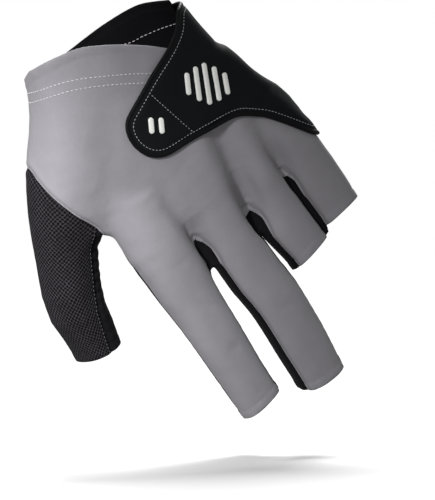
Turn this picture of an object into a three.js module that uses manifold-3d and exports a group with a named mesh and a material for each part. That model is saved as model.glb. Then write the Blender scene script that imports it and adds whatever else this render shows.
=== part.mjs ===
// An open-finger billiard glove for the left hand, in its worn shape with no hand in it.
// Millimetres. It is modelled in the hand's own frame: X across the hand towards the little
// finger, Y from the back of the hand to the palm, and Z up the arm, so "along" is minus Z.
// The outer group then turns it to the way that it hangs.
import * as THREE from "three";
import { mergeVertices } from "three/addons/utils/BufferGeometryUtils.js";
import Module from "manifold-3d";

const wasm = await Module();
wasm.setup();

// Cloth and gaps
const CLOTH = 1.3; // lycra, microfibre and mesh walls
const GAP = 0.35; // between two sewn panels
const REACH = 120; // past the glove on every side, for the solids that only cut

// How the glove hangs: turned to show the thumb's side, tips leaning away, swung in the picture
const POSE = { roll: 20, pitch: 12, swing: -35 };

// Curl of the hand: the middle surface runs straight over the palm and bends at both ends
const CURL = { wristFrom: 50, wristRate: 0.0014, fingersFrom: 80, fingersRate: 0.0019 };

// Side gussets between the fingers, and where back and palm meet on the little finger's side
const GUSSET = { half: 4.2, littleSideSeam: 0.5 };

// Where back and palm meet on the thumb's side: depth below the curl's middle surface
const THUMB_SIDE_COLUMNS = ["along", "depth"];
const THUMB_SIDE_SEAM = [
  [-40, 8],
  [-15, 8.5],
  [-2.5, 12.5],
  [10, 13.5],
  [22.5, 14.8],
  [35, 8],
  [60, 4.5],
  [72.5, 3.5],
  [200, 3.5],
];

const PALM = {
  boxiness: 2.3,
  sides: 30,
  step: 18,
  columns: ["along", "across", "halfWidth", "halfThick", "slant"],
  rows: [
    [-26, -0.5, 32.5, 20.5, 12],
    [0, -0.9, 34.2, 20, 11],
    [18, -0.8, 35.8, 18.4, 8],
    [31, -1.4, 38.2, 17.2, 5],
    [45, 0.9, 41.7, 15.8, 2],
    [62, 4.1, 45.6, 14.2, 0],
    [74, 4.9, 47, 12.5, 0],
    [84, 5, 46.8, 10.8, 0],
    [90, 5, 45.4, 9.2, 0],
    [93.5, 5, 42.5, 6.5, 0],
  ],
};

// Sleeves: a row for each section, from inside the palm to the open end.
// lean tips a section so that its back edge reaches further than its palm edge.
const SLEEVE_COLUMNS = ["along", "across", "halfWidth", "halfThick", "slant", "lean"];
const SLEEVES = {
  index: [
    [64, -27, 12, 12.6, 0, 0],
    [78, -29, 13.4, 11.6, 0, 0],
    [90, -30.2, 12.8, 10.2, 0, 0],
    [101, -30.9, 11.6, 9.4, 0, 0],
    [112, -30.8, 10.7, 9, 0, 0],
    [126, -30.4, 10.3, 8.8, 0, 0],
    [143, -30, 9.5, 8.4, 0, 0],
    [158.6, -28.8, 9.3, 8, -2, -12],
  ],
  middle: [
    [64, -3, 10.5, 12.6, 0, 0],
    [78, -3.2, 11.3, 11.6, 0, 0],
    [90, -3.3, 11.3, 10.2, 0, 0],
    [102, -3, 11.5, 9.5, 0, 0],
    [114, -2.4, 11.6, 9.3, 0, 0],
    [126, -0.8, 11.4, 9.1, 0, 0],
    [148, -0.2, 11.2, 8.7, 0, 0],
    [166, 0.2, 10.4, 8.3, 4, 8],
  ],
  ring: [
    [64, 20, 9.8, 12.2, 0, 0],
    [78, 20.4, 10.2, 11.1, 0, 0],
    [91, 20.6, 10.1, 9.5, 0, 0],
    [104, 20.6, 9.9, 8.8, 0, 0],
    [114, 22, 9.6, 8.6, 0, 0],
    [121, 23, 9.5, 8.5, -3, -14],
  ],
  little: [
    [66, 37, 7, 8, 0, 0],
    [78, 40.2, 8.8, 9.2, 0, 0],
    [88, 42.2, 10, 9.4, 0, 0],
    [95, 42.8, 10.2, 8.8, 0, 0],
    [104, 43.4, 10.1, 8.3, 0, 0],
    [115.5, 43.7, 9.6, 8, -3, -13],
  ],
};
const FINGER_SHAPE = { boxiness: 2.6, sides: 16, step: 18 };

// The thumb lies in front of the palm and is turned to face the index finger
const THUMB = {
  boxiness: 2.3,
  sides: 18,
  step: 18,
  turn: -70,
  columns: ["along", "across", "depth", "halfWidth", "halfThick", "slant", "lean"],
  rows: [
    [-4, -17, 1, 12, 12, 0, 0],
    [9, -24.5, 2, 13.5, 13.5, 0, 0],
    [21, -34, 4, 14, 14, 0, 0],
    [32, -43, 8, 14, 13.5, 0, 0],
    [45, -51.2, 11, 13.4, 13, 0, 0],
    [59, -58.1, 15, 12.4, 12, 0, 0],
    [74, -64.7, 19, 11.9, 11.4, 0, 0],
    [83, -67, 21, 11.6, 10.8, 0, 0],
    [92, -67.2, 23, 10.6, 10, 0, 0],
    [101.6, -68.4, 25, 9.6, 9, 0, 0],
  ],
};

// Fills the fold between thumb and palm, down to the crotch
const THUMB_WEB = {
  boxiness: 2.1,
  sides: 16,
  step: 18,
  turn: -15,
  columns: ["along", "across", "depth", "halfWidth", "halfThick"],
  rows: [
    [-2, -20, -1, 9, 14],
    [14, -29, 0, 11, 13.6],
    [29, -36.5, 1.2, 12, 11.8],
    [41, -41.5, 3, 11, 9.8],
    [50, -45, 5, 9.5, 8],
    [57, -47, 6.5, 6, 5],
  ],
};
const THUMB_FRONT_SHARE = -0.15; // where mesh and smooth strip meet, as a share of the thickness

// Free edges and seams in the hand's plane: a row for each point, joined by a smooth curve
const EDGE_COLUMNS = ["across", "along"];
const BACK_CUFF = [
  [-60, -12],
  [-38, -12.2],
  [-32, -12.4],
  [-26, -11],
  [-18, -8.4],
  [-8.5, -2.7],
  [1, 3.8],
  [8.5, 9.6],
  [15, 15],
  [26, 21.5],
  [36, 24.5],
  [60, 26],
];
const PALM_CUFF = [
  [-60, -14],
  [-38, -13],
  [-26, -10],
  [-12, -7],
  [0, -5.8],
  [13, -4.2],
  [25, -2.4],
  [31, 0.8],
  [35, 4.6],
  [40, 6],
  [60, 7],
];
const THUMB_SEAM = [
  [-75, 6],
  [-60, 15.5],
  [-55, 21],
  [-54.5, 27.6],
  [-53.9, 33.3],
  [-52.7, 39.1],
  [-50.9, 44.8],
  [-48.9, 50.2],
  [-46.5, 55.1],
  [-45, 59.4],
  [-45.2, 66],
  [-48, 80],
  [-50, 125],
];
// The thumb's seam is cut on a slope through the hand: its shift for each mm past a depth
const THUMB_SEAM_SLOPE = { depth: 5, across: 0.364, along: 0.226 };

// The wrist strap: its free edge on the back of the hand, from the wrist round the tab
const STRAP_EDGE = [
  [80, 3],
  [48, 4],
  [37, 4.8],
  [29, 5.6],
  [23.3, 10.4],
  [15, 14.4],
  [1.6, 19],
  [-11.5, 24.6],
  [-17, 27.1],
  [-19.6, 31],
  [-20.2, 37],
  [-18.2, 42.9],
  [-14.6, 46.6],
  [-10, 48.6],
  [1, 49.8],
  [11.1, 51.5],
  [22.9, 53.7],
  [29, 57],
  [35.6, 62.8],
  [42.3, 71.3],
  [49.4, 80],
  [56, 84],
  [80, 90],
];
const STRAP_ROOT = [
  [80, 3],
  [48, 4],
  [37, 4.8],
  [26, 7],
  [37, 79],
  [80, 90],
];
const STRAP = {
  inner: 0.5, // over the glove's back
  outer: 2.5,
  bindingWidth: 2.2,
  bindingInner: 0.4,
  bindingOuter: 3,
  ribOuter: 3.3,
};
const HOOK_PATCH = { across: -9.5, along: 37.5, radius: 7.5, thick: 1 };

// Plain raised grip bars on the strap, in place of any print
const GRIP_BARS = {
  columns: ["across", "along", "length"],
  width: 2.3,
  lean: 62,
  rows: [
    [12.6, 30.6, 9],
    [16.4, 33.2, 14],
    [20.2, 35.8, 17],
    [24, 38.4, 14],
    [27.8, 41, 9],
  ],
};
const TAB_BARS = {
  columns: ["across", "along", "length"],
  width: 2.3,
  lean: 62,
  rows: [
    [-10.2, 34.6, 6.5],
    [-6.6, 37.2, 6.5],
  ],
};

const COLOURS = {
  lycra: { color: 0x8f8d92, roughness: 0.75 },
  microfibre: { color: 0x1c1b1d, roughness: 0.85 },
  mesh: { color: 0x2c2b2f, roughness: 0.9 },
  neoprene: { color: 0x121416, roughness: 0.7 },
  binding: { color: 0x0c0c0e, roughness: 0.5 },
  hook: { color: 0x151515, roughness: 0.95 },
  silicone: { color: 0xe6e7e1, roughness: 0.45 },
};

const named = (columns, rows) =>
  rows.map((row) => Object.fromEntries(columns.map((name, i) => [name, row[i]])));

function curlDepth(along) {
  const pastFingers = Math.max(0, along - CURL.fingersFrom);
  const beforeWrist = Math.max(0, CURL.wristFrom - along);
  return CURL.fingersRate * pastFingers ** 2 - CURL.wristRate * beforeWrist ** 2;
}

// A closed geometry, with its doubled vertices merged, as a solid that faces outwards
function solidOf(geometry) {
  geometry.deleteAttribute("normal");
  geometry.deleteAttribute("uv");
  const merged = mergeVertices(geometry, 1e-4);
  const triVerts = new Uint32Array(merged.index.array);
  const vertProperties = merged.attributes.position.array;
  const solid = new wasm.Manifold(new wasm.Mesh({ numProp: 3, vertProperties, triVerts }));
  if (solid.volume() > 0) return solid;
  return new wasm.Manifold(
    new wasm.Mesh({ numProp: 3, vertProperties, triVerts: triVerts.reverse() }),
  );
}

// Rings of equally many points, skinned one to the next and closed by a fan at each end
function skin(rings) {
  const sides = rings[0].length;
  const points = rings.flat();
  const index = [];
  for (let r = 0; r + 1 < rings.length; r++) {
    for (let s = 0; s < sides; s++) {
      const a = r * sides + s;
      const b = r * sides + ((s + 1) % sides);
      index.push(a, b, a + sides, b, b + sides, a + sides);
    }
  }
  for (const [ring, start] of [
    [rings[0], 0],
    [rings.at(-1), (rings.length - 1) * sides],
  ]) {
    const centre = points.length;
    points.push(ring.reduce((sum, p) => sum.add(p), new THREE.Vector3()).divideScalar(sides));
    for (let s = 0; s < sides; s++) {
      const pair = [start + s, start + ((s + 1) % sides)];
      index.push(...(start === 0 ? pair.reverse() : pair), centre);
    }
  }
  return solidOf(new THREE.BufferGeometry().setFromPoints(points).setIndex(index));
}

// In-between sections at most step apart, on a smooth curve through each column
function refined(rows, step) {
  const out = [];
  for (let i = 0; i + 1 < rows.length; i++) {
    const quad = [rows[Math.max(0, i - 1)], rows[i], rows[i + 1], rows[Math.min(rows.length - 1, i + 2)]];
    const parts = Math.max(1, Math.ceil((rows[i + 1].along - rows[i].along) / step));
    for (let k = 0; k < parts; k++) {
      const t = k / parts;
      out.push(
        Object.fromEntries(
          Object.keys(rows[i]).map((name) => {
            const [a, b, c, d] = quad.map((row) => row[name]);
            const value =
              b +
              0.5 * t * (c - a + t * (2 * a - 5 * b + 4 * c - d + t * (3 * (b - c) + d - a)));
            return [name, value];
          }),
        ),
      );
    }
  }
  out.push(rows.at(-1));
  return out;
}

// Each section's place: its centre, and the directions across it, to its back and along it
function framesOf(tube) {
  const rows = refined(named(tube.columns, tube.rows), tube.step);
  const centres = rows.map(
    (row) => new THREE.Vector3(row.across, row.depth ?? curlDepth(row.along), -row.along),
  );
  return rows.map((row, i) => {
    const along = centres[Math.min(i + 1, rows.length - 1)]
      .clone()
      .sub(centres[Math.max(i - 1, 0)])
      .normalize();
    const turn = THREE.MathUtils.degToRad(tube.turn ?? 0);
    const back = new THREE.Vector3(Math.sin(turn), -Math.cos(turn), 0);
    back.addScaledVector(along, -back.dot(along)).normalize();
    const width = new THREE.Vector3().crossVectors(along, back).negate();
    width.applyAxisAngle(back, -THREE.MathUtils.degToRad(row.slant ?? 0));
    back.applyAxisAngle(width, THREE.MathUtils.degToRad(row.lean ?? 0));
    return { ...row, centre: centres[i], along, back, width };
  });
}

// A sleeve's outer or inner surface as a solid: grow moves it out, open runs it past its end
function tubeSolid(tube, grow, open = 0, fromStart = 0) {
  const frames = framesOf(tube);
  const rings = frames.map((frame, i) => {
    const push = i === frames.length - 1 ? open : i === 0 ? -fromStart : 0;
    const ring = [];
    for (let s = 0; s < tube.sides; s++) {
      const angle = (s / tube.sides) * Math.PI * 2;
      const power = 2 / tube.boxiness;
      const u = Math.sign(Math.cos(angle)) * Math.abs(Math.cos(angle)) ** power;
      const v = Math.sign(Math.sin(angle)) * Math.abs(Math.sin(angle)) ** power;
      ring.push(
        frame.centre
          .clone()
          .addScaledVector(frame.width, u * (frame.halfWidth + grow))
          .addScaledVector(frame.back, v * (frame.halfThick + grow))
          .addScaledVector(frame.along, push),
      );
    }
    return ring;
  });
  return skin(rings);
}

// A solid whose section is one polygon in each frame of a tube, to cut the tube lengthwise
function wedgeAlong(tube, polygon) {
  const frames = framesOf(tube);
  return skin(
    frames.map((frame, i) => {
      const push = i === 0 ? -REACH / 4 : i === frames.length - 1 ? REACH / 4 : 0;
      return polygon(frame).map(([u, v]) =>
        frame.centre
          .clone()
          .addScaledVector(frame.width, u)
          .addScaledVector(frame.back, v)
          .addScaledVector(frame.along, push),
      );
    }),
  );
}

const edgePoints = (rows) => named(EDGE_COLUMNS, rows).map((p) => new THREE.Vector2(p.across, -p.along));
const curved = (points, divisions) => new THREE.SplineCurve(points).getSpacedPoints(divisions);

// An outline in the hand's plane, run through the whole hand from back to palm
function prism(points, from = -REACH, to = REACH) {
  const geometry = new THREE.ExtrudeGeometry(new THREE.Shape(points), {
    depth: to - from,
    bevelEnabled: false,
  });
  geometry.rotateX(Math.PI / 2).translate(0, to, 0);
  return solidOf(geometry);
}

// The outline moved inwards by a distance, where the points run anticlockwise
function inset(points, distance) {
  const inwards = (from, to) => {
    const way = to.clone().sub(from).normalize();
    return new THREE.Vector2(-way.y, way.x);
  };
  return points.map((point, i) => {
    const before = inwards(points.at(i - 1), point);
    const after = inwards(point, points[(i + 1) % points.length]);
    const share = 1 + before.dot(after);
    return point.clone().addScaledVector(before.add(after), distance / share);
  });
}

// What lies on the palm's side of a surface that follows the curl: sideAt gives its height
function palmwards(sideAt, shift) {
  const stations = Array.from({ length: 18 }, (_, i) => -40 + i * 12.5);
  const acrosses = [-REACH, -60, -34, -26, 0, 36, 44, 60, REACH];
  return skin(
    stations.map((along) => {
      const edge = acrosses.map(
        (x) => new THREE.Vector3(x, curlDepth(along) + sideAt(x, along) + shift, -along),
      );
      return [...edge, new THREE.Vector3(REACH, REACH, -along), new THREE.Vector3(-REACH, REACH, -along)];
    }),
  );
}

const { smoothstep, lerp } = THREE.MathUtils;
const thumbSide = named(THUMB_SIDE_COLUMNS, THUMB_SIDE_SEAM);
function thumbSideDepth(along) {
  const i = Math.max(1, thumbSide.findIndex((row) => row.along > along));
  const [before, after] = [thumbSide[i - 1], thumbSide[i]];
  const share = (along - before.along) / (after.along - before.along);
  return lerp(before.depth, after.depth, THREE.MathUtils.clamp(share, 0, 1));
}
const outerSeam = (x, along) =>
  lerp(GUSSET.littleSideSeam, thumbSideDepth(along), smoothstep(-x, 0, 34));
const amongFingers = (x, along) =>
  smoothstep(x, -33, -27) * (1 - smoothstep(x, 37, 43)) * smoothstep(along, 60, 72);
const backEdge = (x, along) => lerp(outerSeam(x, along), -GUSSET.half, amongFingers(x, along));
const palmEdge = (x, along) => lerp(outerSeam(x, along), GUSSET.half, amongFingers(x, along));

// The whole glove as one hollow shell
const fingerTubes = Object.values(SLEEVES).map((rows) => ({
  ...FINGER_SHAPE,
  columns: SLEEVE_COLUMNS,
  rows,
}));
const sleeveTubes = [...fingerTubes, THUMB, THUMB_WEB];

function body(grow, open) {
  return sleeveTubes.reduce(
    (sum, tube) => sum.add(tubeSolid(tube, grow, open)),
    tubeSolid(PALM, grow, 0, open),
  );
}

const outside = body(0, 0);
const shell = outside.subtract(body(-CLOTH, 10));

// Rims and the thumb's seam
function belowEdge(rows, shift) {
  const points = curved(edgePoints(rows), 22).map((p) => p.setY(p.y - shift));
  return prism([
    new THREE.Vector2(-REACH, -REACH * 2),
    new THREE.Vector2(REACH, -REACH * 2),
    new THREE.Vector2(REACH, points.at(-1).y),
    ...points.reverse(),
    new THREE.Vector2(-REACH, points.at(-1).y),
  ]);
}

function thumbRegion(shift) {
  const points = curved(edgePoints(THUMB_SEAM), 24).map((p) => p.setX(p.x - shift));
  const upright = prism([...points, new THREE.Vector2(-REACH, -125), new THREE.Vector2(-REACH, -6)]);
  const { depth, across, along } = THUMB_SEAM_SLOPE;
  const slope = new THREE.Matrix4().set(
    1, across, 0, -across * depth,
    0, 1, 0, 0,
    0, -along, 1, along * depth,
    0, 0, 0, 1,
  );
  return upright.transform(slope.elements);
}

const withoutThumb = shell.subtract(thumbRegion(-GAP / 2));
const backPanel = withoutThumb
  .subtract(palmwards(backEdge, -GAP / 2))
  .intersect(belowEdge(BACK_CUFF, 0));
const palmPanel = withoutThumb
  .intersect(palmwards(palmEdge, GAP / 2))
  .intersect(belowEdge(PALM_CUFF, 0));
const gussets = withoutThumb
  .intersect(palmwards(backEdge, GAP / 2))
  .subtract(palmwards(palmEdge, -GAP / 2));
const thumbSleeve = shell.intersect(thumbRegion(GAP / 2));

function largestFirst(solid) {
  return solid.decompose().sort((a, b) => b.volume() - a.volume());
}

// The thumb's mesh outside and the smooth strip on its palm side
function thumbFront(shift) {
  return wedgeAlong(THUMB, (frame) => {
    const v = THUMB_FRONT_SHARE * frame.halfThick - shift;
    return [
      [-REACH / 3, v],
      [-REACH / 3, -REACH / 3],
      [REACH / 3, -REACH / 3],
      [REACH / 3, v],
    ];
  });
}

// The strap lies on the back of the hand, goes round its little-finger side and is sewn on the palm
const palmLayer = (low, high) => tubeSolid(PALM, high).subtract(tubeSolid(PALM, low, 0, 10));
const middle = () => 0;
const strapPoints = edgePoints(STRAP_EDGE);
const strapOutline = [strapPoints.shift(), ...curved(strapPoints.slice(0, -1), 44), strapPoints.pop()];
const rootOutline = edgePoints(STRAP_ROOT);

function strapRegion(distance) {
  const onBack = prism(inset(strapOutline, distance)).subtract(palmwards(middle, 0));
  const onPalm = prism(inset(rootOutline, distance)).intersect(palmwards(middle, -0.5));
  return onBack.add(onPalm);
}

const clearOfGlove = body(STRAP.inner, 0);
const hookDisc = (grow) =>
  solidOf(
    new THREE.CylinderGeometry(HOOK_PATCH.radius + grow, HOOK_PATCH.radius + grow, REACH, 16).translate(
      HOOK_PATCH.across,
      -REACH / 2,
      -HOOK_PATCH.along,
    ),
  );
const hookPatch = palmLayer(STRAP.inner - 0.1, STRAP.inner - 0.1 + HOOK_PATCH.thick).intersect(
  hookDisc(0),
);
const hookRecess = palmLayer(0, STRAP.inner - 0.1 + HOOK_PATCH.thick + 0.3).intersect(hookDisc(0.4));
const strapCore = palmLayer(STRAP.inner, STRAP.outer)
  .intersect(strapRegion(STRAP.bindingWidth + 0.3))
  .subtract(clearOfGlove)
  .subtract(hookRecess);
const strapBinding = palmLayer(STRAP.bindingInner, STRAP.bindingOuter)
  .intersect(strapRegion(0).subtract(strapRegion(STRAP.bindingWidth)))
  .subtract(clearOfGlove);

function gripBar(bar, width, lean) {
  const angle = THREE.MathUtils.degToRad(lean);
  const half = bar.length / 2 - width / 2;
  const way = new THREE.Vector2(Math.cos(angle), Math.sin(angle));
  const shape = new THREE.Shape();
  const centre = new THREE.Vector2(bar.across, -bar.along);
  const ends = [half, -half].map((h) => centre.clone().addScaledVector(way, h));
  shape.absarc(ends[0].x, ends[0].y, width / 2, angle - Math.PI / 2, angle + Math.PI / 2);
  shape.absarc(ends[1].x, ends[1].y, width / 2, angle + Math.PI / 2, angle + (Math.PI * 3) / 2);
  return palmLayer(STRAP.outer + 0.3, STRAP.ribOuter + 0.3).intersect(
    prism(shape.getPoints(3), -REACH, -2),
  );
}

// The scene graph
const glove = new THREE.Group();
const hand = new THREE.Group();
hand.rotation.set(
  ...[POSE.pitch, POSE.swing, POSE.roll].map(THREE.MathUtils.degToRad),
  "YXZ",
);
glove.add(hand);

function addPiece(name, solid, finish) {
  const { vertProperties, triVerts } = solid.getMesh();
  const geometry = new THREE.BufferGeometry();
  geometry.setAttribute("position", new THREE.BufferAttribute(vertProperties, 3));
  geometry.setIndex(new THREE.BufferAttribute(triVerts, 1));
  geometry.computeVertexNormals();
  const mesh = new THREE.Mesh(geometry, new THREE.MeshStandardMaterial({ metalness: 0, ...finish }));
  mesh.name = name;
  hand.add(mesh);
}

addPiece("back_panel", largestFirst(backPanel)[0], COLOURS.lycra);
addPiece("palm_panel", largestFirst(palmPanel)[0], COLOURS.microfibre);

const gussetNames = ["gusset_index_middle", "gusset_middle_ring", "gusset_ring_little"];
largestFirst(gussets)
  .slice(0, gussetNames.length)
  .sort((a, b) => a.boundingBox().min[0] - b.boundingBox().min[0])
  .forEach((solid, i) => addPiece(gussetNames[i], solid, COLOURS.microfibre));

addPiece("thumb_mesh", largestFirst(thumbSleeve.subtract(thumbFront(-GAP / 2)))[0], COLOURS.mesh);
addPiece("thumb_strip", largestFirst(thumbSleeve.intersect(thumbFront(GAP / 2)))[0], COLOURS.microfibre);

addPiece("wrist_strap", largestFirst(strapCore)[0], COLOURS.neoprene);
addPiece("strap_binding", largestFirst(strapBinding)[0], COLOURS.binding);
addPiece("hook_patch", largestFirst(hookPatch)[0], COLOURS.hook);
for (const [stem, bars] of [
  ["strap_bar", GRIP_BARS],
  ["tab_bar", TAB_BARS],
]) {
  named(bars.columns, bars.rows).forEach((bar, i) =>
    addPiece(`${stem}_${i + 1}`, gripBar(bar, bars.width, bars.lean), COLOURS.silicone),
  );
}

export default glove;
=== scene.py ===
import math

import bpy
import numpy as np
from mathutils import Matrix, Vector


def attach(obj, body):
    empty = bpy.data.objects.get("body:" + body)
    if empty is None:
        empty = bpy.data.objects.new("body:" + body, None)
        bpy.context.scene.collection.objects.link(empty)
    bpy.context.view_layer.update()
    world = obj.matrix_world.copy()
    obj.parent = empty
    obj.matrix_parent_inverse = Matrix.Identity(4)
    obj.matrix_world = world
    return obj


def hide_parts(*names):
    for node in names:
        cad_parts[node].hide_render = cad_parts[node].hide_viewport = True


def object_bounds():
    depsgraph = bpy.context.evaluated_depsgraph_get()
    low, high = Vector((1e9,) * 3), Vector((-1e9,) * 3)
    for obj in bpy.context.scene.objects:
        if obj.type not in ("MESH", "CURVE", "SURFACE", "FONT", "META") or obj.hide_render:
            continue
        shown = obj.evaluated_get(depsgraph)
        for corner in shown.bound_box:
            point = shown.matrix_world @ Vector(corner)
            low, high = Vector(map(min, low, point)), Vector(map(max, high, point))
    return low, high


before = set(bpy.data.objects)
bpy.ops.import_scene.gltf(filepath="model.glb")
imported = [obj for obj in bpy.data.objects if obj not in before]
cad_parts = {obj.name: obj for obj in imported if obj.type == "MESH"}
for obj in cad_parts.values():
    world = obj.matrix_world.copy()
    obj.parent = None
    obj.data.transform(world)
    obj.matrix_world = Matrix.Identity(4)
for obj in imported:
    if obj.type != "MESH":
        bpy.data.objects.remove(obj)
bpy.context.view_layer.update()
print("frame loaded", len(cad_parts), "solids")

# Millimetres in the hand's own frame until a mesh is made: x across towards the little finger,
# y from the back of the hand to the palm, z up the arm, so "along" the hand is -z.
pose = {"roll": 20, "pitch": 12, "swing": -35}
curl = {"wristFrom": 50, "wristRate": 0.0014, "fingersFrom": 80, "fingersRate": 0.0019}
tubing = {"step": 9, "pastRim": 22}   # between a sleeve's sections, and how far it runs on past its open end

palmShape = {
    "boxiness": 2.3,
    # along, across, halfWidth, halfThick, with a depth after across where it isn't the curl's own
    "rows": [
        [-26, -0.5, 32.5, 20.5], [0, -0.9, 34.2, 20], [18, -0.8, 35.8, 18.4],
        [31, -1.4, 38.2, 17.2], [45, 0.9, 41.7, 15.8], [62, 3.2, 46.6, 14], [74, 4.5, 47, 11.2],
        [80, 5, 44.5, 8], [86, 5, 40, 4.8], [92, 5, 35, 3.2], [98.5, 5, 29, 1.6],
    ],
}
sleeveShapes = {   # rim: how far the open end is turned, as a slant and a lean in degrees
    "index": {
        "boxiness": 2.5, "rim": (-2, -12), "blend": 4.5,
        "rows": [
            [58, -26, 9, 12.2], [78, -29, 13.6, 11.8], [90, -30.2, 12.7, 10.5],
            [101, -30.9, 11.6, 9.3], [112, -30.8, 10.7, 9], [126, -30.4, 10.3, 8.8],
            [143, -30, 9.5, 8.4], [158.6, -28.8, 9.3, 8],
        ],
    },
    "middle": {
        "boxiness": 2.5, "rim": (4, 8), "blend": 4,
        "rows": [
            [58, -3, 8.5, 12.6], [78, -3.2, 11.3, 11.8], [90, -3.3, 11.3, 10.5],
            [102, -3, 11.5, 9.4], [114, -2.4, 11.6, 9.3], [126, -0.8, 11.4, 9.1],
            [148, -0.2, 11.2, 8.7], [166, 0.2, 10.4, 8.3],
        ],
    },
    "ring": {
        "boxiness": 2.5, "rim": (-3, -14), "blend": 3,
        "rows": [
            [58, 20, 8, 12.2], [78, 20.6, 10.7, 11.3], [91, 20.7, 10.7, 9.8],
            [104, 20.8, 10.5, 8.8], [114, 22.2, 9.9, 8.6], [121, 23, 9.5, 8.5],
        ],
    },
    "little": {
        "boxiness": 2.5, "rim": (-3, -13), "blend": 3,
        "rows": [
            [60, 37, 8, 11.2], [78, 41.4, 10.1, 10.5], [88, 42.1, 10.6, 9.1],
            [95, 42.5, 10.7, 8.7], [104, 42.9, 10.6, 8.3], [115.5, 43.2, 10.1, 8],
        ],
    },
    "thumb": {
        "boxiness": 2.3, "blend": 10, "turn": -70,
        "rows": [
            [-4, -17, 1, 12, 12], [9, -24.5, 2, 13.5, 13.5], [21, -34, 4, 14, 14],
            [32, -43, 8, 14, 13.5], [45, -51.2, 11, 13.4, 13], [59, -58.1, 15, 12.4, 12],
            [74, -64.7, 19, 11.9, 11.4], [83, -67, 21, 11.6, 10.8], [92, -67.2, 23, 10.6, 10],
            [101.6, -68.4, 25, 9.6, 9],
        ],
    },
    "web": {
        "boxiness": 2.1, "blend": 9, "turn": -15,
        "rows": [
            [-2, -20, -1, 8.5, 13.4], [14, -29, 0, 10.5, 13], [29, -36.5, 1.2, 11.5, 11.2],
            [41, -41.5, 3, 10.5, 9.2], [50, -45, 5, 9, 7.3], [57, -47, 6.5, 5.5, 4.6],
        ],
    },
}

# Free edges and seams, as across, along
backCuff = [[-60, -9.8], [-38, -10.2], [-32, -10.8], [-26, -10], [-18, -8], [-8.5, -2.7], [1, 3.8],
            [8.5, 9.6], [15, 15], [26, 21.5], [36, 24.5], [60, 26]]
palmCuff = [[-60, -6], [-38, -6], [-26, -4.8], [-12, -3.9], [0, -3.9], [13, -3.6], [25, -2.4],
            [31, 0.3], [34, 2.6], [37, 4.9], [40, 6], [60, 7]]
thumbSeam = [[-75, 6], [-60, 15.5], [-55, 21], [-54.5, 27.6], [-53.9, 33.3], [-52.7, 39.1], [-50.9, 44.8],
             [-48.9, 50.2], [-46.5, 55.1], [-45, 59.4], [-45.2, 66], [-48, 80], [-50, 125]]
thumbSeamSlope = {"depth": 5, "across": 0.364, "along": 0.226}   # shift for each mm past a depth
# where back and palm meet on the thumb's side, as along, depth below the curl's middle surface
thumbSideSeam = [[-40, 8], [-15, 8.5], [-2.5, 12.5], [10, 13.5], [22.5, 14.8], [35, 8], [60, 4.5],
                 [72.5, 2.9], [200, 2.9]]
strapEdge = [[48, 4], [37, 4.8], [29, 5.6], [23.3, 10.4], [15, 14.4], [1.6, 19], [-11.5, 24.6],
             [-17, 27.1], [-19.6, 31], [-20.2, 37], [-18.2, 42.9], [-14.6, 46.6], [-10, 48.6],
             [1, 49.8], [11.1, 51.5], [22.9, 53.7], [29, 57], [35.6, 62.8], [42.3, 71.3],
             [49.4, 80], [56, 84]]


def turned(axis, degrees):
    return np.array(Matrix.Rotation(math.radians(degrees), 3, axis))


handToRow = turned("Y", pose["swing"]) @ turned("X", pose["pitch"]) @ turned("Z", pose["roll"])


def curlDepth(along):
    pastFingers = np.maximum(0, along - curl["fingersFrom"])
    beforeWrist = np.maximum(0, curl["wristFrom"] - along)
    return curl["fingersRate"] * pastFingers ** 2 - curl["wristRate"] * beforeWrist ** 2


def smoothstep(x, low, high):
    t = np.clip((x - low) / (high - low), 0, 1)
    return t * t * (3 - 2 * t)


def bell(x, middle, width):
    return np.exp(-((x - middle) / width) ** 2)


def lengthsOf(path):
    return np.r_[0, np.cumsum(np.linalg.norm(np.diff(path, axis=0), axis=1))]


def placesAt(at, length, path):
    return np.stack([np.interp(at, length, column) for column in path.T], axis=1)


def between(a, b, c, d, t):
    # a smooth step from b to c, with the points before and after them
    return b + 0.5 * t * (c - a + t * (2 * a - 5 * b + 4 * c - d + t * (3 * (b - c) + d - a)))


def smoothCurve(points, divisions):
    # evenly spaced points on a smooth curve through the given ones
    points = np.asarray(points, float)
    padded = np.vstack([2 * points[0] - points[1], points, 2 * points[-1] - points[-2]])
    dense = [between(*padded[i:i + 4], t) for i in range(len(points) - 1)
             for t in np.linspace(0, 1, 24, endpoint=False)]
    dense = np.array(dense + [points[-1]])
    length = lengthsOf(dense)
    return placesAt(np.linspace(0, length[-1], divisions), length, dense)


def refined(rows, step):
    out = []
    for i in range(len(rows) - 1):
        a, b, c, d = rows[max(0, i - 1)], rows[i], rows[i + 1], rows[min(len(rows) - 1, i + 2)]
        parts = max(1, math.ceil((c[0] - b[0]) / step))
        out += [between(a, b, c, d, k / parts) for k in range(parts)]
    return np.array(out + [rows[-1]])


def unit(v):
    return v / np.maximum(np.linalg.norm(v, axis=-1, keepdims=True), 1e-9)


def rotatedAbout(v, axis, degrees):
    return np.array(Matrix.Rotation(math.radians(degrees), 3, Vector(axis))) @ v


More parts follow.
